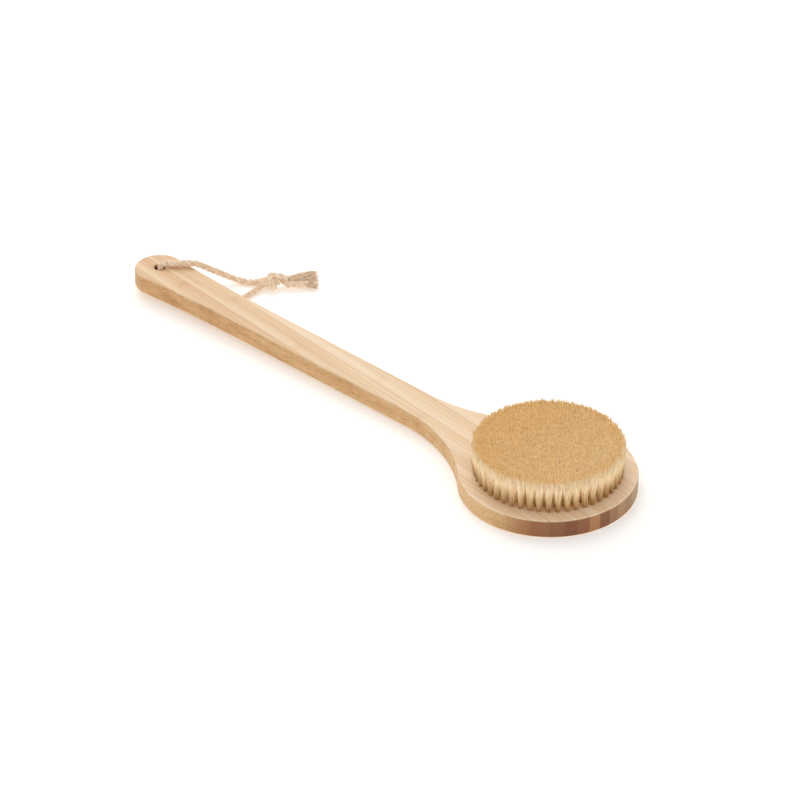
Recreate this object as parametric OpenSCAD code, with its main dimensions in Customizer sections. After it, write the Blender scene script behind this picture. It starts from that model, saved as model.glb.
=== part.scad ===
// Body dry brush: a long flat paddle of edge-glued bamboo strips, a round head
// filled with tufts of natural bristle, and a cotton hanging cord through the grip.
// Millimetres, +Z up, +X from the grip to the head. The origin is on the surface
// the brush lies on, under the middle of its length.

/* [Board] */
// Overall length of the board
board_length = 368; // [330:1:400]
// Diameter of the round head
head_diameter = 100; // [85:1:115]
// Thickness of the board
board_thickness = 11; // [9:0.5:14]
// Width of the shaft, where the grip starts to widen
shaft_width = 23.2; // [22:0.2:30]
// Width of the shaft, where the neck starts
neck_width = 22; // [21:0.2:28]
// Distance from the head's centre to the start of the neck
neck_start = 98.9; // [80:0.1:120]
// Width of the round end of the grip
grip_width = 29; // [24:0.5:36]
// Distance from the grip's hole to where the grip starts to widen
grip_taper = 72; // [50:1:100]
// Diameter of the hole for the cord
hole_diameter = 6.4; // [6:0.1:8]
// Angle at which the board leans, with its grip on the cord
lean_angle = 0.7; // [0.6:0.05:1]

/* [Bamboo strips] */
// Number of strips across the head, the two outer ones sawn narrow by its rim
strip_count = 16; // [16:2:20]
// Width of a strip
strip_width = 6.67; // [5.5:0.01:6.67]
// Angle between the strips and the board's length
strip_slant = 5.3; // [4.9:0.1:5.7]

/* [Bristles] */
// Radius of the outer row of tufts
outer_row_radius = 40.5; // [30:0.5:44]
// Distance between rows of tufts
row_pitch = 5.2; // [4.5:0.1:8]
// Distance between tufts along a row
tuft_pitch = 5.1; // [4.9:0.1:8]
// Diameter of a tuft's hole
tuft_hole_diameter = 3; // [2:0.1:4]
// Depth of a tuft's hole
tuft_hole_depth = 7; // [5:0.5:8]
// Diameter of a tuft at its trimmed top
tuft_top_diameter = 4.6; // [3:0.1:5]
// Height of the bristles above the board
bristle_height = 19; // [12:0.5:30]
// Thickness of the flat wire that anchors a tuft
anchor_thickness = 0.5; // [0.3:0.1:0.8]
// Height of the flat wire that anchors a tuft
anchor_height = 1.4; // [1:0.1:2]

/* [Hanging cord] */
// Diameter of the twisted cotton cord
cord_diameter = 3.7; // [2.5:0.1:4]
// Length of the knot
knot_length = 17; // [12:0.5:20]
// Diameter of the knot's core
knot_core_diameter = 6; // [5:0.1:8]
// Length of the frayed tails past the knot
tail_length = 19; // [10:1:40]

/* [Hidden] */
$fn = 48;

head_r = head_diameter / 2;
grip_r = grip_width / 2;
shaft_r = shaft_width / 2;
neck_r = neck_width / 2;
cord_r = cord_diameter / 2;

// Places along the board
head_x = board_length / 2 - head_r;
hole_x = -board_length / 2 + grip_r;
taper_x = hole_x + grip_taper;
neck_x = head_x - neck_start;
// The outline cuts through the strips in grip_strips here, between the grip and the head
parting_x = neck_x + 9.9;
grip_strips = [2, 3, 4, 5];

// The neck's arc touches the shaft's side and the head's rim
neck_arc_r = (neck_start * neck_start - head_r * head_r + neck_r * neck_r) / (2 * (head_r - neck_r));
// The grip's arc touches the shaft's side and runs into the grip's round end
meet_r = grip_r - 0.04;
grip_arc_r = (grip_taper * grip_taper - meet_r * meet_r + shaft_r * shaft_r) / (2 * (meet_r - shaft_r));

row_count = floor(outer_row_radius / row_pitch) + 1;

// Route of the cord, from inside the hole over the grip and down to the knot
upper_route = [
  [-169.3, 0.1, 9.6],
  [-169.3, 0.1, 12.4],
  [-169.2, 0.2, 14.9],
  [-168.6, 0.8, 16.9],
  [-167.2, 2.1, 17.8],
  [-165.2, 4.2, 17.8],
  [-162.9, 6.5, 17.6],
  [-160.5, 9, 17.6],
  [-157.8, 11.8, 17.5],
  [-155.2, 15, 16.9],
  [-153, 19, 14.5],
  [-151, 23.2, 11.3],
  [-148.8, 27.4, 8.2],
  [-146.2, 31.2, 5.5],
  [-142.8, 34.3, 3.4],
  [-138.8, 36.9, 2.2],
  [-134.8, 39.1, 2],
  [-131.2, 41.4, 2.8],
  [-128, 43.4, 4],
];

// Route of the cord, from inside the hole under the grip and out to the knot
lower_route = [
  [-169.3, 0.1, 9.6],
  [-169.3, 0.1, 7.2],
  [-168.9, 0.3, 5],
  [-168, 0.6, 3.1],
  [-166.4, 1, 2.1],
  [-163, 1.8, 1.85],
  [-157, 2.8, 1.85],
  [-150, 3.9, 1.85],
  [-143.4, 5.4, 1.85],
  [-137.4, 7.6, 1.85],
  [-132.4, 10.9, 1.85],
  [-128.7, 15, 1.85],
  [-126.4, 20, 1.85],
  [-125.5, 25.2, 1.85],
  [-125.6, 30.2, 1.85],
  [-125.9, 34.8, 2.1],
  [-126, 38.6, 3],
  [-125.4, 42, 4.2],
];

// Where the knot lies, and how it is turned
knot_centre = [-122.5, 45.8, 4.9];
knot_turn = 43;
knot_end = knot_centre + knot_length / 2 * [cos(knot_turn), sin(knot_turn), 0];

// Names of the nodes that repeat
function strip_name(n) = str("bamboo_strip_", n < 10 ? "0" : "", n);
function grip_name(n) = str(strip_name(n), "_grip");
function row_name(i) = str("tuft_row_", i);

// Number of tufts in row i, and its radius: row 1 is the outer one
function row_radius(i) = outer_row_radius - (i - 1) * row_pitch;
function row_tufts(i) = max(1, floor(2 * PI * row_radius(i) / tuft_pitch));
// Alternate rows are turned by half a pitch
function tuft_angle(i, k) = (k + (i % 2) / 2) * 360 / row_tufts(i);

// Leans what it holds back onto the cord under the grip
module lean() {
  translate([board_length / 2, 0, 0])
    rotate([0, lean_angle, 0])
      translate([-board_length / 2, 0, 0])
        children();
}

// One half of the outline that bulges from the shaft to the head
module neck_outline() {
  difference() {
    polygon([
      [neck_x, 0],
      [head_x, 0],
      [head_x - neck_start * head_r / (head_r + neck_arc_r),
       (neck_r + neck_arc_r) * head_r / (head_r + neck_arc_r)],
      [neck_x, neck_r + neck_arc_r],
    ]);
    translate([neck_x, neck_r + neck_arc_r])
      circle(r = neck_arc_r, $fn = 180);
  }
}

// One half of the outline that widens from the shaft to the grip's end. The arc is drawn in
// chords: it is so flat that they leave it by less than 0.01 mm.
module grip_outline() {
  chords = 9;
  turn = asin(grip_taper / (meet_r + grip_arc_r));
  polygon(concat(
    [[taper_x, 0]],
    [for (i = [0 : chords])
      [taper_x - grip_arc_r * sin(turn * i / chords),
       shaft_r + grip_arc_r * (1 - cos(turn * i / chords))]],
    [[hole_x, 0]]
  ));
}

// The outline that all the glued strips are sawn to
module board_outline() {
  difference() {
    union() {
      translate([head_x, 0])
        circle(r = head_r, $fn = 180);
      translate([hole_x, 0])
        circle(r = grip_r, $fn = 96);
      polygon([
        [taper_x, -shaft_r], [neck_x, -neck_r],
        [neck_x, neck_r], [taper_x, shaft_r],
      ]);
      for (side = [0, 1]) {
        mirror([0, side]) {
          neck_outline();
          grip_outline();
        }
      }
    }
    translate([hole_x, 0])
      circle(d = hole_diameter);
  }
}

// Places its children at each tuft of row i
module at_tufts(i) {
  for (k = [0 : row_tufts(i) - 1])
    translate([head_x, 0, 0])
      rotate([0, 0, tuft_angle(i, k)])
        translate([row_radius(i), 0, 0])
          children();
}

// Distance of strip n's lower seam from the head's centre
function seam(n) = (n - 1 - strip_count / 2) * strip_width;

// Outline of strip n, between two slanted seams
module strip_outline(n) {
  intersection() {
    board_outline();
    translate([head_x, 0])
      rotate(-strip_slant)
        translate([-board_length, seam(n)])
          square([2 * board_length, strip_width]);
  }
}

// Strip n from the head, with its share of the blind tuft holes
module bamboo_strip(n) {
  color(n % 2 == 0 ? "#E3C08C" : "#EBCB9C")
    lean()
      difference() {
        linear_extrude(board_thickness)
          intersection() {
            strip_outline(n);
            translate([len(search(n, grip_strips)) > 0 ? parting_x : -board_length / 2, -head_r])
              square([board_length, head_diameter]);
          }
        for (i = [1 : row_count])
          for (k = [0 : row_tufts(i) - 1]) {
            across = row_radius(i) * sin(tuft_angle(i, k) + strip_slant) - seam(n);
            if (abs(across - strip_width / 2) < (strip_width + tuft_hole_diameter) / 2 - 0.01)
              translate([head_x + row_radius(i) * cos(tuft_angle(i, k)),
                         row_radius(i) * sin(tuft_angle(i, k)),
                         board_thickness - tuft_hole_depth])
                cylinder(d = tuft_hole_diameter, h = tuft_hole_depth + 1);
          }
      }
}

// The other end of strip n, that the outline leaves in the grip and the shaft
module grip_strip(n) {
  color(n % 2 == 0 ? "#E3C08C" : "#EBCB9C")
    lean()
      linear_extrude(board_thickness)
        intersection() {
          strip_outline(n);
          translate([parting_x - board_length, -head_r])
            square([board_length, head_diameter]);
        }
}

// Row i of bristle tufts, each set in its hole and spreading to its trimmed top
module tuft_row(i) {
  low = board_thickness - tuft_hole_depth + anchor_height;
  root_r = tuft_hole_diameter / 2 - 0.1;
  color("#D9BC86")
    lean()
      at_tufts(i)
        rotate_extrude()
          polygon([
            [0, low],
            [root_r, low],
            [root_r, board_thickness],
            [tuft_top_diameter / 2, board_thickness + bristle_height],
            [0, board_thickness + bristle_height],
          ]);
}

// The flat wires that hold the folded tufts at the bottoms of their holes
module tuft_anchors() {
  color("#B9BCC0")
    lean()
      for (i = [1 : row_count])
        at_tufts(i)
          translate([-anchor_thickness / 2, -tuft_hole_diameter / 2 + 0.15,
                     board_thickness - tuft_hole_depth])
            cube([anchor_thickness, tuft_hole_diameter - 0.3, anchor_height]);
}

// Direction of a route at its point i
function heading(route, i) =
  let (step = route[min(i + 1, len(route) - 1)] - route[max(i - 1, 0)])
    step / norm(step);

// Round tube of radius r along a route, with eight sides
module tube(route, r) {
  sides = 8;
  last = len(route) - 1;
  // No stretch of the cord runs this way
  aside = [1, -1, 0];
  points = [
    for (i = [0 : last])
      let (
        ahead = heading(route, i),
        u = cross(ahead, aside) / norm(cross(ahead, aside)),
        v = cross(ahead, u)
      )
        for (k = [0 : sides - 1])
          route[i] + r * (cos(360 * k / sides) * u + sin(360 * k / sides) * v)
  ];
  faces = concat(
    [[for (k = [sides - 1 : -1 : 0]) k]],
    [
      for (i = [0 : last - 1])
        for (k = [0 : sides - 1])
          let (
            a = i * sides + k,
            b = i * sides + (k + 1) % sides
          )
            [a, b, b + sides, a + sides]
    ],
    [[for (k = [0 : sides - 1]) last * sides + k]]
  );
  polyhedron(points = points, faces = [for (f = faces) [for (k = [len(f) - 1 : -1 : 0]) f[k]]]);
}

// The cord from the hole over the grip
module cord_upper_leg() {
  color("#DCCBB0")
    tube(upper_route, cord_r);
}

// The cord from the hole under the grip
module cord_lower_leg() {
  color("#D3C1A5")
    tube(lower_route, cord_r);
}

// Both ends tied together in one overhand knot: a core and its two turns
module cord_knot() {
  color("#DCCBB0")
    translate(knot_centre)
      rotate([0, 90, knot_turn]) {
        cylinder(d = knot_core_diameter, h = knot_length, center = true);
        for (side = [-1, 1])
          translate([0, 0, side * cord_diameter / 2])
            rotate([0, 12 * side, 0])
              rotate_extrude()
                translate([knot_core_diameter / 2 - 0.1, 0])
                  circle(d = cord_diameter, $fn = 24);
      }
}

// A tail that widens from the knot to its frayed end
module tail(turn, lift, start_r, end_r, long) {
  translate(knot_end)
    rotate([0, 90 - lift, turn])
      cylinder(r1 = start_r, r2 = end_r, h = long);
}

// The end of the cord that has come untwisted
module cord_tail_loose() {
  color("#E6DAC2")
    translate([-0.8, 1.8, 0.5])
      tail(64, -6, 1.6, 3, tail_length);
}

// The end of the cord that is still twisted to its last few millimetres
module cord_tail_twisted() {
  color("#D3C1A5")
    translate([1.1, -1.1, -1.2])
      tail(48, -4, 1.75, 2.3, tail_length - 0.5);
}

for (n = [1 : strip_count])
  bamboo_strip(n);
for (n = grip_strips)
  grip_strip(n);
for (i = [1 : row_count])
  tuft_row(i);
tuft_anchors();
cord_upper_leg();
cord_lower_leg();
cord_knot();
cord_tail_loose();
cord_tail_twisted();
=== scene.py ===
import math

import bmesh
import bpy
import numpy as np
from mathutils import Matrix, Vector


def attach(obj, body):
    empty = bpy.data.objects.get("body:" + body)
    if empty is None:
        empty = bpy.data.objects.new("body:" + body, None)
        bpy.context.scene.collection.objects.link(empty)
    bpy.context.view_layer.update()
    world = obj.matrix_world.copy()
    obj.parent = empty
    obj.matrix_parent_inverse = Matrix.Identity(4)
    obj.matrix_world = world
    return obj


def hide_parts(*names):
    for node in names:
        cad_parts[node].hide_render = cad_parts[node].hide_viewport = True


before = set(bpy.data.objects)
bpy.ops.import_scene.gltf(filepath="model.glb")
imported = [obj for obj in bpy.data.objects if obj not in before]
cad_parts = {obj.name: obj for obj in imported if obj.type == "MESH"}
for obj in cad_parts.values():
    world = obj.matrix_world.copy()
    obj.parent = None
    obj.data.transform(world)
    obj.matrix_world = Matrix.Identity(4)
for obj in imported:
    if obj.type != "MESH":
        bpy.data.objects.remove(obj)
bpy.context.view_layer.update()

# ---------------------------------------------------------------------------------------------
# Camera. It stands off the front of the head and well above it. A long lens keeps the two sides
# of the handle almost parallel.
camera_data = bpy.data.cameras.new("camera")
camera_data.lens = 271.5
camera_data.sensor_width = 36
camera_data.clip_start, camera_data.clip_end = 0.1, 30
camera = bpy.data.objects.new("camera", camera_data)
camera.location = (1.97682, -2.07861, 1.84777)
camera.rotation_euler = (math.radians(57.19), 0, math.radians(43.242))
bpy.context.scene.collection.objects.link(camera)
bpy.context.scene.camera = camera

# ---------------------------------------------------------------------------------------------
# Hanging cord. One length of undyed three-strand cotton cord, 3.7 mm thick, passes down through
# the hole in the grip. Its upper leg runs over the grip and its lower leg under it, and both
# come out at the back and meet in the knot.
MM = 0.001


def linear(code):
    """A colour socket's value for an sRGB hex code."""
    parts = [int(code[i:i + 2], 16) / 255 for i in (1, 3, 5)]
    return [c / 12.92 if c < 0.04045 else ((c + 0.055) / 1.055) ** 2.4 for c in parts] + [1]


def add(material, kind, links=(), **settings):
    """Adds a node to a material. A setting is a property, or a value for the socket of that
    name with _ for each space, or for the socket of that number as in1. Links are (socket,
    node, output)."""
    node = material.node_tree.nodes.new("ShaderNode" + kind)
    for name, value in settings.items():
        if hasattr(node, name):
            setattr(node, name, value)
        else:
            numbered = name.startswith("in") and name[2:].isdigit()
            node.inputs[int(name[2:]) if numbered else name.replace("_", " ")].default_value = value
    for socket, source, output in links:
        material.node_tree.links.new(source.outputs[output], node.inputs[socket])
    return node


def ramp(material, source, output, stops, stepped=False):
    """Adds a colour ramp with stops of (place, hex), smooth or in steps."""
    node = add(material, "ValToRGB", [("Fac", source, output)])
    if stepped:
        node.color_ramp.interpolation = "CONSTANT"
    bands = node.color_ramp.elements
    while len(bands) < len(stops):
        bands.new(0.5)
    for band, (place, code) in zip(bands, stops):
        band.position = place
        band.color = linear(code)
    return node


def new_material(name):
    """An empty material with its output node."""
    material = bpy.data.materials.new(name)
    material.use_nodes = True
    material.node_tree.nodes.clear()
    return material, add(material, "OutputMaterial")


def piece(name, points, faces, material, body):
    """A smooth-shaded mesh piece, in metres, that rides on a body."""
    mesh = bpy.data.meshes.new(name)
    mesh.from_pydata([tuple(p) for p in points], [], faces)
    mesh.polygons.foreach_set("use_smooth", [True] * len(mesh.polygons))
    mesh.materials.append(material)
    mesh.update()
    made = bpy.data.objects.new(name, mesh)
    bpy.context.scene.collection.objects.link(made)
    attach(made, body)
    return made


def smooth_route(points, step):
    """Points a step apart along one smooth curve through the given points."""
    p = np.array(points, float)
    p = np.vstack([2 * p[0] - p[1], p, 2 * p[-1] - p[-2]])
    fine = []
    for a, b, c, d in zip(p, p[1:], p[2:], p[3:]):
        t = np.linspace(0, 1, 24, endpoint=False)[:, None]
        fine.append(0.5 * (2 * b + (c - a) * t + (2 * a - 5 * b + 4 * c - d) * t ** 2
                           + (3 * b - a - 3 * c + d) * t ** 3))
    fine = np.vstack(fine + [p[-2:-1]])
    run = np.r_[0, np.cumsum(np.linalg.norm(np.diff(fine, axis=0), axis=1))]
    places = np.linspace(0, run[-1], max(2, round(run[-1] / step) + 1))
    return np.stack([np.interp(places, run, fine[:, k]) for k in range(3)], 1)


def unit(v):
    """Vectors of the same directions and length 1."""
    return v / np.maximum(np.linalg.norm(v, axis=-1, keepdims=True), 1e-12)


def carried_frames(path):
    """Two directions across the path at each point, carried along it without twisting."""
    ahead = unit(np.gradient(path, axis=0))
    side = unit(np.cross(ahead[0], [0.3, -0.2, 0.9]))
    sides = []
    for t in ahead:
        side = unit(side - t * np.dot(side, t))
        sides.append(side)
    sides = np.array(sides)
    return ahead, sides, np.cross(ahead, sides)


def swept(path, radii, corners, turn=None, ridges=0, depth=0.0):
    """Points and faces of a round tube along a path. Ridges turn round it as twisted yarns do."""
    ahead, u, v = carried_frames(path)
    angles = np.arange(corners) * 2 * math.pi / corners
    turn = np.zeros(len(path)) if turn is None else turn
    wave = 1 + depth * np.cos(ridges * angles[None, :] + turn[:, None])
    r = np.broadcast_to(np.asarray(radii, float).reshape(-1, 1), (len(path), 1)) * wave
    points = (path[:, None] + r[..., None] * (np.cos(angles)[None, :, None] * u[:, None]
                                              + np.sin(angles)[None, :, None] * v[:, None]))
    faces = []
    for i in range(len(path) - 1):
        for k in range(corners):
            a, b = i * corners + k, i * corners + (k + 1) % corners
            faces.append((a, b, b + corners, a + corners))
    last = (len(path) - 1) * corners
    faces.append(tuple(range(corners - 1, -1, -1)))
    faces.append(tuple(range(last, last + corners)))
    return points.reshape(-1, 3), faces


def joined(parts):
    """One list of points and one of faces from several."""
    points, faces, first = [], [], 0
    for p, f in parts:
        points.append(p)
        faces += [tuple(first + k for k in face) for face in f]
        first += len(p)
    return np.vstack(points), faces


# Three strands of seven yarns, which turn round the cord once in 11 mm and round the strand once
# in 3 mm. They are round, so their crowns stand some 0.1 mm proud of the cord's 3.7 mm.
CORD_D, STRANDS, YARNS = 3.7, 3, 7
LAY, YARN_LAY = 11.0, 3.0
STRAND_R, STRAND_OFF, YARN_RIDGE = 0.96, 0.97, 0.06


def strands(path, start_turn=0.0):
    """The cord's strands along a path in millimetres, each with ridges for its yarns."""
    ahead, u, v = carried_frames(path)
    run = np.r_[0, np.cumsum(np.linalg.norm(np.diff(path, axis=0), axis=1))]
    parts = []
    for k in range(STRANDS):
        a = start_turn + run * 2 * math.pi / LAY + k * 2 * math.pi / STRANDS
        line = path + STRAND_OFF * (np.cos(a)[:, None] * u + np.sin(a)[:, None] * v)
        parts.append(swept(line, STRAND_R, 16, -run * 2 * math.pi / YARN_LAY, YARNS, YARN_RIDGE))
    return parts


def fuzz(path, rng, per_mm, reach=1.1, root=1.6, thick=0.035):
    """Loose cotton fibres that curl away from a cord, in either direction along it."""
    ahead, u, v = carried_frames(path)
    run = np.linalg.norm(np.diff(path, axis=0), axis=1).sum()
    parts = []
    for _ in range(int(run * per_mm)):
        i = rng.integers(0, len(path) - 1)
        a = rng.uniform(0, 2 * math.pi)
        out = math.cos(a) * u[i] + math.sin(a) * v[i]
        along = ahead[i] * rng.choice([-1, 1])
        around = np.cross(ahead[i], out) * rng.uniform(-1, 1)
        size = rng.uniform(0.3, 1) * reach
        t = np.linspace(0, 1, 4)[:, None]
        line = (path[i] + out * root + t * size * (along + around) * 1.3
                + np.sin(t * math.pi * rng.uniform(0.6, 1)) * size * 0.6 * out)
        parts.append(swept(line, np.array([thick, thick, thick * 0.8, thick * 0.3]), 3))
    return parts


# Undyed cotton, spun and twisted: matt, cream, with a faint sheen from its loose fibres. The weak
# glow stands for light that passes through it. Cotton fibres are 0.02 mm thick. Loose ones are
# drawn about four times as thick and the relief ten times as coarse, or they would not show.
cotton, out = new_material("undyed twisted cotton")
place = add(cotton, "TexCoord")
cloud = add(cotton, "TexNoise", [("Vector", place, "Object")], Scale=420, Detail=3)
shade = ramp(cotton, cloud, "Fac", [(0.3, "#DBC0A2"), (0.5, "#E9D0B3"), (0.72, "#F4E2CC")])
fibre = add(cotton, "TexNoise", [("Vector", place, "Object")], Scale=4200, Detail=2)
relief = add(cotton, "Bump", [("Height", fibre, "Fac")], Strength=0.5, Distance=0.00012)
body = add(cotton, "BsdfPrincipled", [("Base Color", shade, "Color"), ("Normal", relief, "Normal"),
                                      ("Emission Color", shade, "Color")], Emission_Strength=0.09,
           Roughness=0.88, Sheen_Weight=0.25, Sheen_Roughness=0.5, Specular_IOR_Level=0.25)
cotton.node_tree.links.new(body.outputs[0], out.inputs[0])

upper_route = [
    (-0.1693, 0.0001, 0.0096), (-0.1693, 0.0001, 0.0124), (-0.1692, 0.0002, 0.0149),
    (-0.1686, 0.0008, 0.0169), (-0.1672, 0.0021, 0.0178), (-0.1652, 0.0042, 0.0178),
    (-0.1629, 0.0065, 0.0177), (-0.1605, 0.009, 0.0177), (-0.1578, 0.0118, 0.0177),
    (-0.1552, 0.015, 0.0171), (-0.153, 0.019, 0.0145), (-0.151, 0.0232, 0.0113),
    (-0.1488, 0.0274, 0.0082), (-0.1462, 0.0312, 0.0055), (-0.1428, 0.0343, 0.0034),
    (-0.1388, 0.0369, 0.0022), (-0.1348, 0.0391, 0.002), (-0.1312, 0.0414, 0.0028),
    (-0.128, 0.0434, 0.004),
]
lower_route = [
    (-0.1693, 0.0001, 0.0096), (-0.1693, 0.0001, 0.0072), (-0.1689, 0.0003, 0.005),
    (-0.168, 0.0006, 0.0031), (-0.1664, 0.001, 0.0021), (-0.163, 0.0018, 0.00195),
    (-0.157, 0.0028, 0.00195), (-0.15, 0.0039, 0.00195), (-0.1434, 0.0054, 0.00195),
    (-0.1374, 0.0076, 0.00195), (-0.1324, 0.0109, 0.00195), (-0.1287, 0.015, 0.00195),
    (-0.1264, 0.02, 0.00195), (-0.1255, 0.0252, 0.00195), (-0.1256, 0.0302, 0.00195),
    (-0.1259, 0.0348, 0.0021), (-0.126, 0.0386, 0.003), (-0.1254, 0.042, 0.0042),
]
# Both legs start halfway down the hole, where they are one cord. Loose fibres start 12 steps on,
# at the mouth of the hole. Where the cord lies on the table it is pressed flat against it.
ROUTE_STEP, IN_HOLE = 0.45, 12
legs = {}
for name, route, seed in (("upper", upper_route, 1), ("lower", lower_route, 2)):
    whole = smooth_route(np.array(route) / MM, ROUTE_STEP)
    run = np.linalg.norm(np.diff(whole, axis=0), axis=1).sum()
    loose_fibres = fuzz(whole[IN_HOLE:], np.random.default_rng(seed), 5)
    points, faces = joined(strands(whole, seed * 1.3) + loose_fibres)
    points[:, 2] = np.maximum(points[:, 2], 0.05)
    leg = piece(f"cord_{name}_leg_strands", points * MM, faces, cotton, "hang_loop")
    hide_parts(f"cord_{name}_leg")
    legs[name] = (leg, whole, run)

# ---------------------------------------------------------------------------------------------
# Knot and tails. Both ends of the cord are tied together in one overhand knot and pulled tight.
# Past it one tail has come untwisted, and the other stays twisted for rather more than half its
# length. Both settle towards the table.
KNOT_CENTRE = np.array([-122.5, 45.8, 4.9])
KNOT_TURN = math.radians(43)
knot_x = np.array([math.cos(KNOT_TURN), math.sin(KNOT_TURN), 0])
knot_y = np.array([-math.sin(KNOT_TURN), math.cos(KNOT_TURN), 0])
knot_z = np.array([0, 0, 1.0])


def at_knot(p):
    """Points in millimetres from the knot's centre and turn to the row's frame."""
    p = np.asarray(p, float)
    return KNOT_CENTRE + p[..., :1] * knot_x + p[..., 1:2] * knot_y + p[..., 2:3] * knot_z


def pulled_tight():
    """The two cords of the knot, tied loose and then pulled until they press on each other.
    Each is a chain of links that grow shorter, and keeps 2.85 mm away from the other."""
    thick, first_length, last_length = 2.85, 1.25, 0.72
    # A trefoil, cut open, is an overhand knot
    t = np.linspace(0.28, 2 * math.pi - 0.28, 54)
    ring = 4.2 * np.stack([np.sin(t) + 2 * np.sin(2 * t), np.cos(t) - 2 * np.cos(2 * t),
                           -1.1 * np.sin(3 * t)], 1)
    side = np.gradient(ring, axis=0)
    side = unit(np.stack([-side[:, 1], side[:, 0], 0 * side[:, 0]], 1))
    # Where the legs come in and the tails go out, for each of the two cords
    held = np.array([[[-10.5, -7.6, -3.4], [11, -1.0, -1.6]], [[-12, 4.4, -2.6], [11, 3.4, 0.8]]])
    cords = []
    for k in (0, 1):
        middle = (ring + (1.75, -1.75)[k] * side)[::-1]
        level = -3 + (1.7, -1.7)[k]
        cords.append(np.vstack([np.linspace([-16, level, 0], middle[0], 10, endpoint=False), middle,
                                np.linspace(middle[-1], [16, level, 0], 11)[1:]]))
    p, n = np.vstack(cords), len(cords[0])
    ends = [0, n - 1, n, 2 * n - 1]
    begun, held = p[ends].copy(), held.reshape(4, 3) + [0, -2, 0]
    cord_of = np.arange(2 * n) // n
    apart = np.abs(np.arange(2 * n)[:, None] - np.arange(2 * n)[None])
    length = first_length
    for step in range(420):
        length = max(last_length, length * (0.9952 if step > 100 else 1))
        near = (cord_of[:, None] != cord_of[None]) | (apart * length > 1.25 * thick)
        for _ in range(5):
            gap = p[:, None] - p[None]
            far = np.sqrt((gap ** 2).sum(-1)) + 1e-9
            bite = np.where(near, np.clip(thick - far, 0, None), 0)
            pressing = np.maximum((bite > 0).sum(1), 1)[:, None]
            p = p + ((bite / far)[..., None] * gap).sum(1) / np.sqrt(pressing) * 0.3
            for first in (0, 1, 0, 1):
                i = np.r_[first:n - 1:2, n + first:2 * n - 1:2]
                link = p[i + 1] - p[i]
                now = np.linalg.norm(link, axis=1, keepdims=True) + 1e-9
                p[i] += 0.5 * (now - length) / now * link
                p[i + 1] -= 0.5 * (now - length) / now * link
            smooth = 0.5 * (np.roll(p, 1, 0) + np.roll(p, -1, 0)) - p
            smooth[ends] = 0
            p += 0.12 * smooth
            p[ends] = begun + (held - begun) * min(1, step / 120)
    p = (p + [0, 1.0, 0]) * [1.42, 0.95, 0.8]
    return p[:n], p[n:]


# The first of the two cords comes from the lower leg, the second from the upper one. Only the
# knot's own turns are taken from the tying, and each is led on smoothly into its leg and its tail.
knot_end = KNOT_CENTRE + 8.5 * knot_x
TWISTED_ROOT = knot_end + [1.1, -1.1, -1.2]
LOOSE_ROOT = knot_end + [-0.8, 1.8, 0.5]
knot_parts = []
for k, line in enumerate(pulled_tight()):
    inside = (line[:, 0] > -5.2) & (line[:, 0] < 6.6)
    first, last = np.argmax(inside), len(inside) - 1 - np.argmax(inside[::-1])
    comes_from = legs[("lower", "upper")[k]][1]
    goes_to = (LOOSE_ROOT, TWISTED_ROOT)[k]
    line = np.vstack([comes_from[-8:-1:3], at_knot(line[first:last + 1]), goes_to])
    path = smooth_route(line, ROUTE_STEP)
    for _ in range(6):
        path[1:-1] = (path[:-2] + 2 * path[1:-1] + path[2:]) / 4
    knot_parts += strands(path, k * 1.1)
    knot_parts += fuzz(path, np.random.default_rng(11 + k), 3, 1.0)
points, faces = joined(knot_parts)
points[:, 2] = np.maximum(points[:, 2], 0.12)
knot = piece("cord_knot_strands", points * MM, faces, cotton, "hang_loop")
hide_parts("cord_knot")


def tail_route(start, turn, lift, long):
    """A tail's route from the knot's end, turned from +X and bowed up slightly in the middle."""
    turn, lift = math.radians(turn), math.radians(lift)
    ahead = np.array([math.cos(turn) * math.cos(lift), math.sin(turn) * math.cos(lift), math.sin(lift)])
    t = np.linspace(0, 1, 30)[:, None]
    return start + ahead * long * t + np.array([0, 0, 0.35]) * np.sin(t * 3.1)


def frayed(route, rng, yarns, fibres, start_r, end_r, open_at, ragged):
    """Yarns and fibres that leave the twist at open_at and spread out to a ragged end."""
    ahead, u, v = carried_frames(route)
    run = np.linspace(0, 1, len(route))
    loose = np.clip((run - open_at) / (1 - open_at), 0, 1)
    parts = []
    for k in range(yarns + fibres):
        thick = rng.uniform(0.16, 0.26) if k < yarns else rng.uniform(0.035, 0.06)
        a, r = rng.uniform(0, 2 * math.pi), math.sqrt(rng.uniform(0.02, 1))
        wave, phase = rng.uniform(0.5, 1.6), rng.uniform(0, 6.28)
        size = start_r + (end_r - start_r) * loose ** 0.8
        spin = a + (1 - loose) * 2.2 + 0.35 * np.sin(run * 5 * wave + phase) * loose
        out = np.cos(spin)[:, None] * u * 1.15 + np.sin(spin)[:, None] * v * 0.85
        line = route + (r * size)[:, None] * out
        line = line + 0.22 * (loose * np.sin(run * 16 * wave + phase))[:, None] * v
        stop = max(8, int(len(route) * (1 - ragged * rng.uniform(0, 1) ** 1.5)))
        start = 0 if k < yarns else int(len(route) * rng.uniform(0, 0.5))
        line = line[start:stop]
        if len(line) < 6:
            continue
        taper = np.ones(len(line))
        taper[-3:] = (0.8, 0.6, 0.35)
        parts.append(swept(line, thick * taper, 6 if k < yarns else 3))
    return parts


loose_route = tail_route(LOOSE_ROOT, 64, -6, 18.8)
points, faces = joined(frayed(loose_route, np.random.default_rng(21), 60, 220, 1.7, 3.4, 0.05, 0.2))
points[:, 2] = np.maximum(points[:, 2], 0.1)
tail_loose = piece("cord_tail_loose_yarns", points * MM, faces, cotton, "hang_loop")
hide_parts("cord_tail_loose")

twisted_route = tail_route(TWISTED_ROOT, 48, -4, 18.6)
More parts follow.
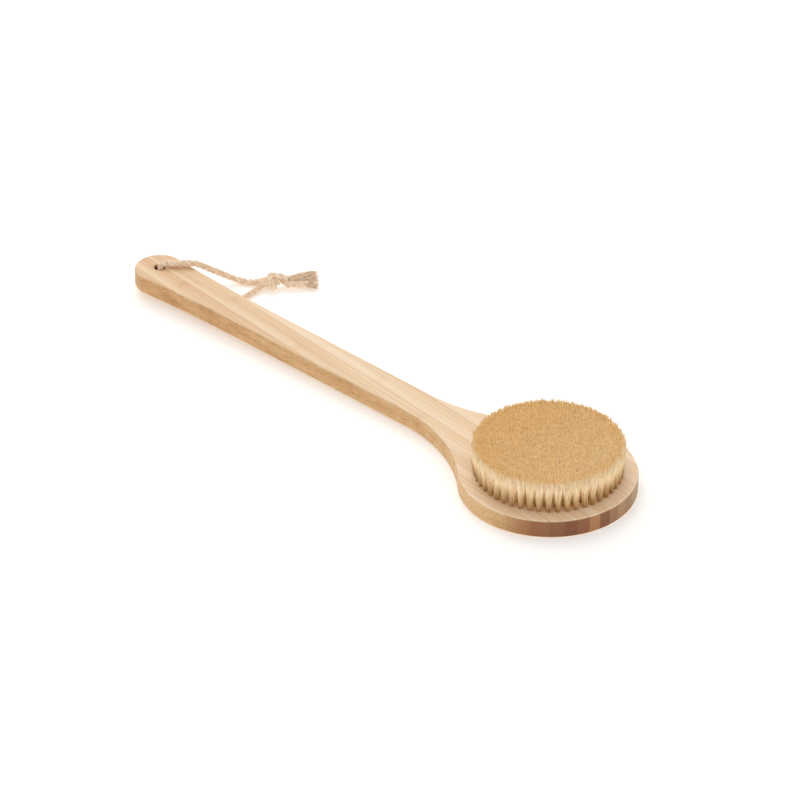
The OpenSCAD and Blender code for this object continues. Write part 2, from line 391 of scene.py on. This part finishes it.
# The point of its 30 where it comes untwisted
split = 17
parts = strands(twisted_route[:split + 2], 0.4)
parts += frayed(twisted_route[split - 3:], np.random.default_rng(22), 30, 170, 1.5, 2.4, 0.1, 0.45)
parts += fuzz(twisted_route[:split + 2], np.random.default_rng(23), 8)
points, faces = joined(parts)
points[:, 2] = np.maximum(points[:, 2], 0.1)
tail_twisted = piece("cord_tail_twisted_strands", points * MM, faces, cotton, "hang_loop")
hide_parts("cord_tail_twisted")

for name, others in (("upper", [knot, tail_loose, tail_twisted]), ("lower", [knot])):
    leg, whole, run = legs[name]

# ---------------------------------------------------------------------------------------------
# Board. Strips of bamboo, 6.67 mm wide and as thick as the board, are glued edge to edge, and the
# paddle is sawn from them a few degrees off their length. Its edges are sanded to about 1 mm. The
# outline parts strips 2 to 5 in two, so each of those is a piece in the head and one in the grip.
LENGTH, HEAD_R, GRIP_R, SHAFT_R, NECK_R = 368.0, 50.0, 14.5, 11.6, 11.0
HEAD_X, HOLE_X, TAPER, NECK = 134.0, -169.5, 72.0, 98.9
THICK, HOLE_R, STRIP, SLANT, LEAN = 11.0, 3.2, 6.67, math.radians(5.3), math.radians(0.7)
MEET_R = GRIP_R - 0.04
GRIP_ARC = (TAPER ** 2 - MEET_R ** 2 + SHAFT_R ** 2) / (2 * (MEET_R - SHAFT_R))
NECK_ARC = (NECK ** 2 - HEAD_R ** 2 + NECK_R ** 2) / (2 * (HEAD_R - NECK_R))


def half_outline():
    """Points along one side, from the grip's end to the head's end, with outward directions."""
    points, normals = [], []
    meet = math.atan2(TAPER, SHAFT_R + GRIP_ARC)
    for a in np.linspace(math.pi, math.pi / 2 - meet, 34)[:-1]:
        points.append((HOLE_X + GRIP_R * math.cos(a), GRIP_R * math.sin(a)))
        normals.append((math.cos(a), math.sin(a)))
    for a in np.linspace(meet, 0, 14):
        points.append((HOLE_X + TAPER - GRIP_ARC * math.sin(a), SHAFT_R + GRIP_ARC * (1 - math.cos(a))))
        normals.append((math.sin(a), math.cos(a)))
    shaft = HEAD_X - NECK - HOLE_X - TAPER
    for t in np.linspace(0, 1, 12)[1:-1]:
        points.append((HOLE_X + TAPER + t * shaft, SHAFT_R + t * (NECK_R - SHAFT_R)))
        normals.append((0, 1))
    meet = math.atan2(NECK, NECK_R + NECK_ARC)
    for a in np.linspace(0, meet, 26):
        points.append((HEAD_X - NECK + NECK_ARC * math.sin(a), NECK_R + NECK_ARC * (1 - math.cos(a))))
        normals.append((-math.sin(a), math.cos(a)))
    for a in np.linspace(math.pi / 2 + meet, 0, 96)[1:]:
        points.append((HEAD_X + HEAD_R * math.cos(a), HEAD_R * math.sin(a)))
        normals.append((math.cos(a), math.sin(a)))
    return np.array(points), np.array(normals)


def board_mesh():
    """The whole paddle as one closed mesh, with its edges rounded, lying flat."""
    side, out_dir = half_outline()
    n = len(side)
    round_r, arc = 1.15, 5
    rings = []
    for k in range(arc + 1):
        a = math.pi / 2 * k / arc
        rings.append((round_r * (1 - math.sin(a)), round_r * (1 - math.cos(a))))
    # (inset, height): bottom face, rounded bottom edge, side, rounded top edge, top face
    profile = [(3.0, 0.0)] + rings + [(i, THICK - z) for i, z in rings[::-1]] + [(3.0, THICK)]
    bm = bmesh.new()
    loops = []
    for inset, z in profile:
        inner = side - inset * out_dir
        far = [bm.verts.new((x, max(y, 0.0), z)) for x, y in inner]
        near = [far[i] if i in (0, n - 1) else bm.verts.new((v.co.x, -v.co.y, z)) for i, v in enumerate(far)]
        loops.append((far, near))
    for (far_a, near_a), (far_b, near_b) in zip(loops, loops[1:]):
        for i in range(n - 1):
            bm.faces.new((far_a[i], far_b[i], far_b[i + 1], far_a[i + 1]))
            bm.faces.new((near_a[i + 1], near_b[i + 1], near_b[i], near_a[i]))
    for far, near in (loops[0], loops[-1]):
        for i in range(n - 1):
            corners = [far[i], far[i + 1], near[i + 1], near[i]]
            bm.faces.new(list(dict.fromkeys(corners)))
    bmesh.ops.recalc_face_normals(bm, faces=bm.faces)
    return bm


def sawn(bm, keeps):
    """What is left of the board after the cuts: each is a point and the direction cut away."""
    for point, away in keeps:
        geometry = bm.verts[:] + bm.edges[:] + bm.faces[:]
        bmesh.ops.bisect_plane(bm, geom=geometry, dist=1e-5, plane_co=point, plane_no=away, clear_outer=True)
        bmesh.ops.holes_fill(bm, edges=[e for e in bm.edges if e.is_boundary])
    return bm


def bamboo(name, pale, mid, dark):
    """Bamboo sanded smooth and left unvarnished: satin, with straight fibres along each strip
    that end as dots on the cut ends, and faintly darker bands at the nodes of the cane."""
    material, out = new_material(name)
    place = add(material, "TexCoord")
    along = add(material, "Mapping", [("Vector", place, "Object")], Rotation=(0, 0, SLANT))
    axis = add(material, "SeparateXYZ", [("Vector", along, "Vector")])
    # Number of the strip, from the middle of the head: each strip has its own tone and grain
    shift = add(material, "Math", [(0, axis, "Y")], operation="SUBTRACT",
                in1=HEAD_X * MM * math.sin(SLANT))
    count = add(material, "Math", [(0, shift, 0)], operation="DIVIDE", in1=STRIP * MM)
    number = add(material, "Math", [(0, count, 0)], operation="FLOOR")
    tone = add(material, "TexWhiteNoise", [("W", number, 0)], noise_dimensions="1D")
    apart = add(material, "VectorMath", [(0, along, "Vector"), (1, tone, "Color")], operation="ADD")
    # Fibre bundles 0.5 mm apart and some 120 mm long
    fibres = add(material, "Mapping", [("Vector", apart, 0)], Scale=(9, 1900, 1500))
    grain = add(material, "TexNoise", [("Vector", fibres, "Vector")], Scale=1, Detail=4, Roughness=0.6)
    # Broad streaks a few millimetres wide
    broad = add(material, "Mapping", [("Vector", apart, 0)], Scale=(6, 420, 300))
    streak = add(material, "TexNoise", [("Vector", broad, "Vector")], Scale=1, Detail=2)
    # Short dashes of the bundles where a side is cut along them at a shallow angle
    dashes = add(material, "Mapping", [("Vector", apart, 0)], Scale=(230, 2300, 2300))
    dash = add(material, "TexNoise", [("Vector", dashes, "Vector")], Scale=1, Detail=3, Roughness=0.65)
    facing = add(material, "NewGeometry")
    faced = add(material, "VectorTransform", [("Vector", facing, "Normal")], vector_type="NORMAL",
                convert_from="WORLD", convert_to="OBJECT")
    turn = add(material, "SeparateXYZ", [("Vector", faced, "Vector")])
    up = add(material, "Math", [(0, turn, "Z")], operation="ABSOLUTE")
    # 1 on the sides, and 1 where a side faces the head's end and cuts the fibres across. On the sides the
    # colour is a darker, more orange copy of the top's: painted shade and painted warm bounced light
    side = add(material, "MapRange", [("Value", up, 0)], From_Min=0.75, From_Max=0.2, To_Min=0, To_Max=1)
    # Painted shade in part: the darker end grain is drawn only where a side turns to the head's end, away
    # from the light
    end = add(material, "MapRange", [("Value", turn, "X")], From_Min=0.05, From_Max=0.5, To_Min=0, To_Max=1)
    # Each strip's colour, best seen where the head's rim cuts across it. Counted from the
    # front of the head, the first eight are orange to reddish brown and the rest straw-coloured:
    # partly the strips' real tones, and on the front strips partly painted shade from the bristles
    # and painted warm light bounced off them
    across = add(material, "Math", [(0, count, 0)], operation="MULTIPLY_ADD", in1=1 / 16, in2=0.5)
    codes = ("#B4824E", "#AC7645", "#A26C42", "#9A643C", "#8E5630", "#9A6338", "#BC8654", "#925C34",
             "#AC7E58", "#BC926C", "#B08760", "#BC9872", "#BEA184", "#B99A76", "#C2A27C", "#B8966E")
    strip_colour_and_painted_shade = ramp(material, across, 0, [(k / 16, code) for k, code in enumerate(codes)], True)
    strip_colour_and_painted_shade_parts = add(material, "SeparateColor", [("Color", strip_colour_and_painted_shade, "Color")])
    # How dark: the strip's colour with its painted shade, a slow drift from grip to head, then
    # streaks, fibres and dashes
    by_strip = add(material, "MapRange", [("Value", strip_colour_and_painted_shade_parts, "Green")], From_Min=0.08, From_Max=0.36,
                   To_Min=0.14, To_Max=-0.06)
    drift = add(material, "MapRange", [("Value", axis, "X")], From_Min=-0.18, From_Max=0.06, To_Min=0.06,
                To_Max=-0.16)
    by_streak = add(material, "MapRange", [("Value", streak, "Fac")], From_Min=0.3, From_Max=0.7,
                    To_Min=-0.15, To_Max=0.15)
    by_fibre = add(material, "MapRange", [("Value", grain, "Fac")], From_Min=0.3, From_Max=0.7,
                   To_Min=-0.15, To_Max=0.15)
    by_dash = add(material, "MapRange", [("Value", dash, "Fac")], From_Min=0.35, From_Max=0.65,
                  To_Min=-0.2, To_Max=0.2)
    by_dash = add(material, "Math", [(0, by_dash, 0), (1, side, 0)], operation="MULTIPLY")
    total = by_strip
    for more in (drift, by_streak, by_fibre, by_dash):
        total = add(material, "Math", [(0, total, 0), (1, more, 0)], operation="ADD")
    # A node of the cane every 160 mm or so: a band some 10 mm long, a little darker
    cane = add(material, "Math", [(0, axis, "X"), (1, tone, "Value")], operation="ADD")
    cane = add(material, "Math", [(0, cane, 0)], operation="MULTIPLY", in1=6.2)
    cane = add(material, "Math", [(0, cane, 0)], operation="FRACT")
    cane = add(material, "Math", [(0, cane, 0)], operation="SUBTRACT", in1=0.5)
    cane = add(material, "Math", [(0, cane, 0)], operation="ABSOLUTE")
    band = add(material, "MapRange", [("Value", cane, 0)], interpolation_type="SMOOTHSTEP",
               From_Min=0.03, From_Max=0.0, To_Min=0, To_Max=0.1)
    total = add(material, "Math", [(0, total, 0), (1, band, 0)], operation="ADD")
    total = add(material, "Math", [(0, total, 0)], operation="ADD", in1=0.42)
    face_colour = ramp(material, total, 0, [(0.1, pale), (0.45, mid), (0.95, dark)])
    # Painted shade: the sides' darker, warmer colours
    side_colour_painted_shade = ramp(material, total, 0, [(0.0, "#E6C190"), (0.45, "#D2A56E"), (0.95, "#A8703C")])
    speckle = ramp(material, dash, "Fac", [(0.3, "#FFFFFF"), (0.7, "#C8B8A4")])
    end_colour = add(material, "MixRGB", [("Color1", strip_colour_and_painted_shade, "Color"), ("Color2", speckle, "Color")],
                     blend_type="MULTIPLY", Fac=0.9)
    mix_painted_shade_side = add(material, "MixRGB", [("Fac", side, 0), ("Color1", face_colour, "Color"),
                                        ("Color2", side_colour_painted_shade, "Color")])
    end = add(material, "Math", [(0, end, 0), (1, side, 0)], operation="MULTIPLY")
    mix_end = add(material, "MixRGB", [("Fac", end, 0), ("Color1", mix_painted_shade_side, "Color"),
                                       ("Color2", end_colour, "Color")])
    # Glue line: 0.1 mm wide, drawn faint and up to 0.5 mm wide so that it shows
    offset = add(material, "Math", [(0, count, 0)], operation="FRACT")
    offset = add(material, "Math", [(0, offset, 0)], operation="SUBTRACT", in1=0.5)
    offset = add(material, "Math", [(0, offset, 0)], operation="ABSOLUTE")
    line = add(material, "MapRange", [("Value", offset, 0)], From_Min=0.465, From_Max=0.5, To_Min=0,
               To_Max=0.36)
    # On the long sides a seam runs out at so shallow an angle that it hardly shows
    shallow = add(material, "Math", [(0, side, 0), (1, end, 0)], operation="SUBTRACT")
    shows = add(material, "MapRange", [("Value", shallow, 0)], To_Min=1, To_Max=0.15)
    line = add(material, "Math", [(0, line, 0), (1, shows, 0)], operation="MULTIPLY")
    glued = add(material, "MixRGB", [("Fac", line, 0), ("Color1", mix_end, "Color")],
                Color2=linear("#8E5A30"))
    rough = add(material, "MapRange", [("Value", grain, "Fac")], To_Min=0.42, To_Max=0.62)
    relief = add(material, "Bump", [("Height", grain, "Fac")], Strength=0.35, Distance=0.00008)
    wood = add(material, "BsdfPrincipled", [("Base Color", glued, "Color"), ("Roughness", rough, 0),
                                            ("Normal", relief, "Normal")], IOR=1.5)
    material.node_tree.links.new(wood.outputs[0], out.inputs[0])
    return material


pale_bamboo = bamboo("pale bamboo, sanded", "#F7E0C4", "#ECCFAA", "#CE9D6C")
tan_bamboo = bamboo("tan bamboo, sanded", "#F5DBBA", "#E9C8A0", "#CA9763")

# Seams are square to across_strips. A cut at parting tells the grip's pieces from the head's,
# past the end of the shaft, where strips 2 to 5 are outside the outline. The board leans on its
# cord about the head's end.
whole_board = board_mesh()
across_strips = Vector((math.sin(SLANT), math.cos(SLANT), 0))
head_centre = Vector((HEAD_X, 0, 0))
parting = Vector((HEAD_X - NECK + 9.9, 0, 0))
lean = (Matrix.Translation((LENGTH / 2, 0, 0)) @ Matrix.Rotation(LEAN, 4, "Y")
        @ Matrix.Translation((-LENGTH / 2, 0, 0)))
drill = bmesh.new()
bmesh.ops.create_cone(drill, cap_ends=True, segments=64, radius1=HOLE_R, radius2=HOLE_R, depth=30,
                      matrix=Matrix.Translation((HOLE_X, 0, THICK / 2)))
drill_mesh = bpy.data.meshes.new("drill")
drill.to_mesh(drill_mesh)
drill_object = bpy.data.objects.new("drill", drill_mesh)
bpy.context.scene.collection.objects.link(drill_object)
GRIP_STRIPS = (2, 3, 4, 5)
strips = [(n, False) for n in range(1, 17)] + [(n, True) for n in GRIP_STRIPS]
for n, in_grip in strips:
    low = (n - 9) * STRIP
    cuts = [(head_centre + across_strips * low, -across_strips),
            (head_centre + across_strips * (low + STRIP), across_strips)]
    if n in GRIP_STRIPS:
        cuts.append((parting, Vector((1, 0, 0)) if in_grip else Vector((-1, 0, 0))))
    strip = sawn(whole_board.copy(), cuts)
    name = f"bamboo_strip_{n:02d}" + ("_grip" if in_grip else "")
    mesh = bpy.data.meshes.new(name + "_sanded")
    strip.to_mesh(mesh)
    made = bpy.data.objects.new(name + "_sanded", mesh)
    bpy.context.scene.collection.objects.link(made)
    if in_grip and n in (4, 5):
        hole = made.modifiers.new("hole", "BOOLEAN")
        hole.object, hole.operation, hole.solver = drill_object, "DIFFERENCE", "EXACT"
        bpy.context.view_layer.update()
        drilled = made.evaluated_get(bpy.context.evaluated_depsgraph_get())
        mesh = bpy.data.meshes.new_from_object(drilled)
        made.modifiers.clear()
        made.data = mesh
        # The hole's rims are sanded soft too
        strip = bmesh.new()
        strip.from_mesh(mesh)
        rims = []
        for edge in strip.edges:
            ends = [math.hypot(v.co.x - HOLE_X, v.co.y) for v in edge.verts]
            flat = all(abs(v.co.z - THICK) < 0.01 or abs(v.co.z) < 0.01 for v in edge.verts)
            level = abs(edge.verts[0].co.z - edge.verts[1].co.z) < 0.01
            if flat and level and all(abs(r - HOLE_R) < 0.05 for r in ends):
                rims.append(edge)
        bmesh.ops.bevel(strip, geom=rims, offset=0.55, segments=3, affect="EDGES", profile=0.5)
    # The sawn and glued faces meet the sanded ones at a crisp edge
    for point, away in cuts:
        for edge in strip.edges:
            if all(abs((v.co - point).dot(away)) < 1e-3 for v in edge.verts):
                edge.smooth = False
    strip.transform(Matrix.Scale(MM, 4) @ lean)
    for edge in strip.edges:
        if len(edge.link_faces) == 2 and edge.calc_face_angle(0) > math.radians(50):
            edge.smooth = False
    for face in strip.faces:
        face.smooth = True
    mesh.clear_geometry()
    strip.to_mesh(mesh)
    mesh.materials.clear()
    mesh.materials.append(tan_bamboo if n % 2 == 0 else pale_bamboo)
    weighted = made.modifiers.new("flat faces stay flat", "WEIGHTED_NORMAL")
    weighted.keep_sharp = True
    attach(made, "brush")
    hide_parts(name)
bpy.data.objects.remove(drill_object)

# ---------------------------------------------------------------------------------------------
# Bristles. Stiff natural bristle in 216 tufts, each folded over a wire in its own blind hole, in
# eight rings. A tuft spreads as it rises, and all are trimmed to one level 19 mm above the board.
# Bristles are 0.2 mm thick. They are drawn 0.3 to 0.4 mm thick, so that they show singly.
BRISTLE_H, PER_TUFT = 19.0, 150
OUTER, ROW_PITCH, TUFT_PITCH, ROOT_R = 40.5, 5.2, 5.1, 1.1

# Blond bristle: glossy, cream above and straw-coloured where it is cut, each bristle a little
# different in tone, and tan towards the root, which is painted shade where the tufts shade each other
bristle, out = new_material("blond natural bristle")
place = add(bristle, "TexCoord")
single = add(bristle, "Mapping", [("Vector", place, "Object")], Scale=(2600, 2600, 45))
tone = add(bristle, "TexNoise", [("Vector", single, "Vector")], Scale=1, Detail=1)
height = add(bristle, "SeparateXYZ", [("Vector", place, "Object")])
level = add(bristle, "MapRange", [("Value", height, "Z")], From_Min=0.0115, From_Max=0.0305, To_Min=0,
            To_Max=1)
# Painted shade: tan at the root, paling to cream above
along = ramp(bristle, level, 0, [(0.0, "#D9A870"), (0.3, "#ECD2A6"), (0.65, "#F8ECD4"), (0.93, "#F8E9CC"),
                                 (1.0, "#F0D098")])
varied = ramp(bristle, tone, "Fac", [(0.3, "#D0C0A4"), (0.5, "#F4EEE2"), (0.7, "#FFFFFF")])
tinted = add(bristle, "MixRGB", [("Color1", along, "Color"), ("Color2", varied, "Color")],
             blend_type="MULTIPLY", Fac=1)
# The glow stands for the light that passes on from bristle to bristle more often than is drawn
glow = add(bristle, "MapRange", [("Value", level, 0)], From_Min=0, From_Max=0.55, To_Min=0.06, To_Max=0.36)
shaft = add(bristle, "BsdfPrincipled", [("Base Color", tinted, "Color"), ("Emission Color", tinted, "Color"),
                                        ("Emission Strength", glow, 0)], Roughness=0.42, IOR=1.55)
through = add(bristle, "BsdfTranslucent", [("Color", tinted, "Color")])
both = add(bristle, "MixShader", [(1, shaft, 0), (2, through, 0)], Fac=0.25)
bristle.node_tree.links.new(both.outputs[0], out.inputs[0])


def tuft_row(i, rng):
    """All the bristles of row i, each a three-sided taper that bends a little outwards."""
    radius = OUTER - (i - 1) * ROW_PITCH
    count = max(1, int(2 * math.pi * radius / TUFT_PITCH))
    each = PER_TUFT
    corner = np.arange(3) * 2 * math.pi / 3
    levels = np.array([0.0, 0.4, 0.75, 1.0])
    rings = []
    for k in range(count):
        a = (k + (i % 2) / 2) * 2 * math.pi / count
        centre = np.array([HEAD_X + radius * math.cos(a), radius * math.sin(a)])
        outward = np.array([math.cos(a), math.sin(a)])
        r = np.sqrt(rng.uniform(0, 1, each))
        w = rng.uniform(0, 2 * math.pi, each)
        spot = np.stack([np.cos(w), np.sin(w)], 1) * r[:, None]
        root = centre + spot * ROOT_R
        spread = 2.75 + rng.normal(0, 0.25, each)
        lean_in = -0.85 if i == 1 else 0.0
        tip_at = centre + spot * spread[:, None] + outward * lean_in + rng.normal(0, 0.32, (each, 2))
        if i == 1:
            stray = rng.uniform(0, 1, each) < 0.05
            tip_at += outward * (stray * rng.uniform(0.4, 1.6, each))[:, None]
            tall_stray = (rng.uniform(0, 1, each) < 0.16) * rng.uniform(0.4, 1.9, each)
        tall = BRISTLE_H + np.clip(rng.normal(0, 0.34, each), -1, 0.7)
        if i == 1:
            # The outermost bristles splay out, so they stand lower
            tall += tall_stray - 1.5 * np.clip(spot @ outward, 0, 1) ** 1.5
        bow = rng.normal(0, 0.22, (each, 2))
        for level in levels:
            mix = level ** 1.35
            flat = root + (tip_at - root) * mix + bow * math.sin(math.pi * level)
            z = THICK - 0.25 + (tall + 0.25) * level
            thick = 0.15 + 0.05 * level
            ring = np.empty((each, 3, 3))
            ring[..., 0] = flat[:, None, 0] + thick * np.cos(corner)[None]
            ring[..., 1] = flat[:, None, 1] + thick * np.sin(corner)[None]
            ring[..., 2] = z[:, None]
            rings.append(ring)
    rings = np.array(rings).reshape(count, len(levels), each, 3, 3).transpose(0, 2, 1, 3, 4)
    total = count * each
    points = rings.reshape(total * len(levels) * 3, 3)
    base = np.arange(total)[:, None, None] * len(levels) * 3
    quads = []
    for level in range(len(levels) - 1):
        for c in range(3):
            a, b = level * 3 + c, level * 3 + (c + 1) % 3
            quads.append((a, b, b + 3, a + 3))
    quads = (base + np.array(quads)[None]).reshape(-1, 4)
    top = (len(levels) - 1) * 3
    caps = (base[:, 0] + np.array([[top, top + 1, top + 2]])).reshape(-1, 3)
    return points, quads.tolist() + caps.tolist()


for i in range(1, 9):
    points, faces = tuft_row(i, np.random.default_rng(100 + i))
    row = piece(f"tuft_row_{i}_bristles", points, faces, bristle, "brush")
    row.data.transform(Matrix.Scale(MM, 4) @ lean)
    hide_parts(f"tuft_row_{i}")

# ---------------------------------------------------------------------------------------------
# Anchor wires. A short piece of flat drawn wire is driven into each hole across the folded tuft
# and bites into the wood on both sides. All are hidden under the bristles. Galvanised wire is a
# dull grey metal with fine lines along it from drawing.
wire, out = new_material("drawn flat wire, galvanised")
place = add(wire, "TexCoord")
drawn = add(wire, "Mapping", [("Vector", place, "Object")], Scale=(6000, 300, 6000))
lines = add(wire, "TexNoise", [("Vector", drawn, "Vector")], Scale=1, Detail=2)
grey = ramp(wire, lines, "Fac", [(0.3, "#9A9DA0"), (0.7, "#C4C7CA")])
relief = add(wire, "Bump", [("Height", lines, "Fac")], Strength=0.2, Distance=0.00002)
steel = add(wire, "BsdfPrincipled", [("Base Color", grey, "Color"), ("Normal", relief, "Normal")],
            Metallic=1, Roughness=0.35)
wire.node_tree.links.new(steel.outputs[0], out.inputs[0])
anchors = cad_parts["tuft_anchors"]
anchors.data.materials.clear()
anchors.data.materials.append(wire)

# ---------------------------------------------------------------------------------------------
# Studio. A plain white table, a broad soft light above and behind the brush, and white all round.
# The table is matt white, and its weak glow stands for a ground that is lit until it is all white.
floor_mesh = bpy.data.meshes.new("table_top")
floor_mesh.from_pydata([(-6, -6, 0), (6, -6, 0), (6, 6, 0), (-6, 6, 0)], [], [(0, 1, 2, 3)])
floor = bpy.data.objects.new("table_top", floor_mesh)
bpy.context.scene.collection.objects.link(floor)
white, out = new_material("matt white table")
place = add(white, "TexCoord")
speck = add(white, "TexNoise", [("Vector", place, "Object")], Scale=900, Detail=2)
tint = ramp(white, speck, "Fac", [(0.3, "#F4F3F1"), (0.7, "#F8F7F5")])
sheet = add(white, "BsdfPrincipled", [("Base Color", tint, "Color")], Roughness=0.95, Specular_IOR_Level=0.1,
            Emission_Color=linear("#FFFDFA"), Emission_Strength=0.26)
white.node_tree.links.new(sheet.outputs[0], out.inputs[0])
floor_mesh.materials.append(white)

world = bpy.data.worlds.new("white studio")
bpy.context.scene.world = world
world.use_nodes = True
world.node_tree.nodes["Background"].inputs["Color"].default_value = linear("#FFFFFF")
world.node_tree.nodes["Background"].inputs["Strength"].default_value = 0.78

softbox_data = bpy.data.lights.new("overhead_softbox", "AREA")
softbox_data.shape, softbox_data.size, softbox_data.energy = "SQUARE", 1.8, 24
softbox_data.color = linear("#FFFBF6")[:3]
softbox = bpy.data.objects.new("overhead_softbox", softbox_data)
softbox.location = (-1.5, 0.9, 2.0)
aimed_at = Vector((0.05, 0, 0))
softbox.rotation_euler = (aimed_at - softbox.location).to_track_quat("-Z", "Y").to_euler()
bpy.context.scene.collection.objects.link(softbox)
bpy.context.scene.view_settings.view_transform = "Standard"
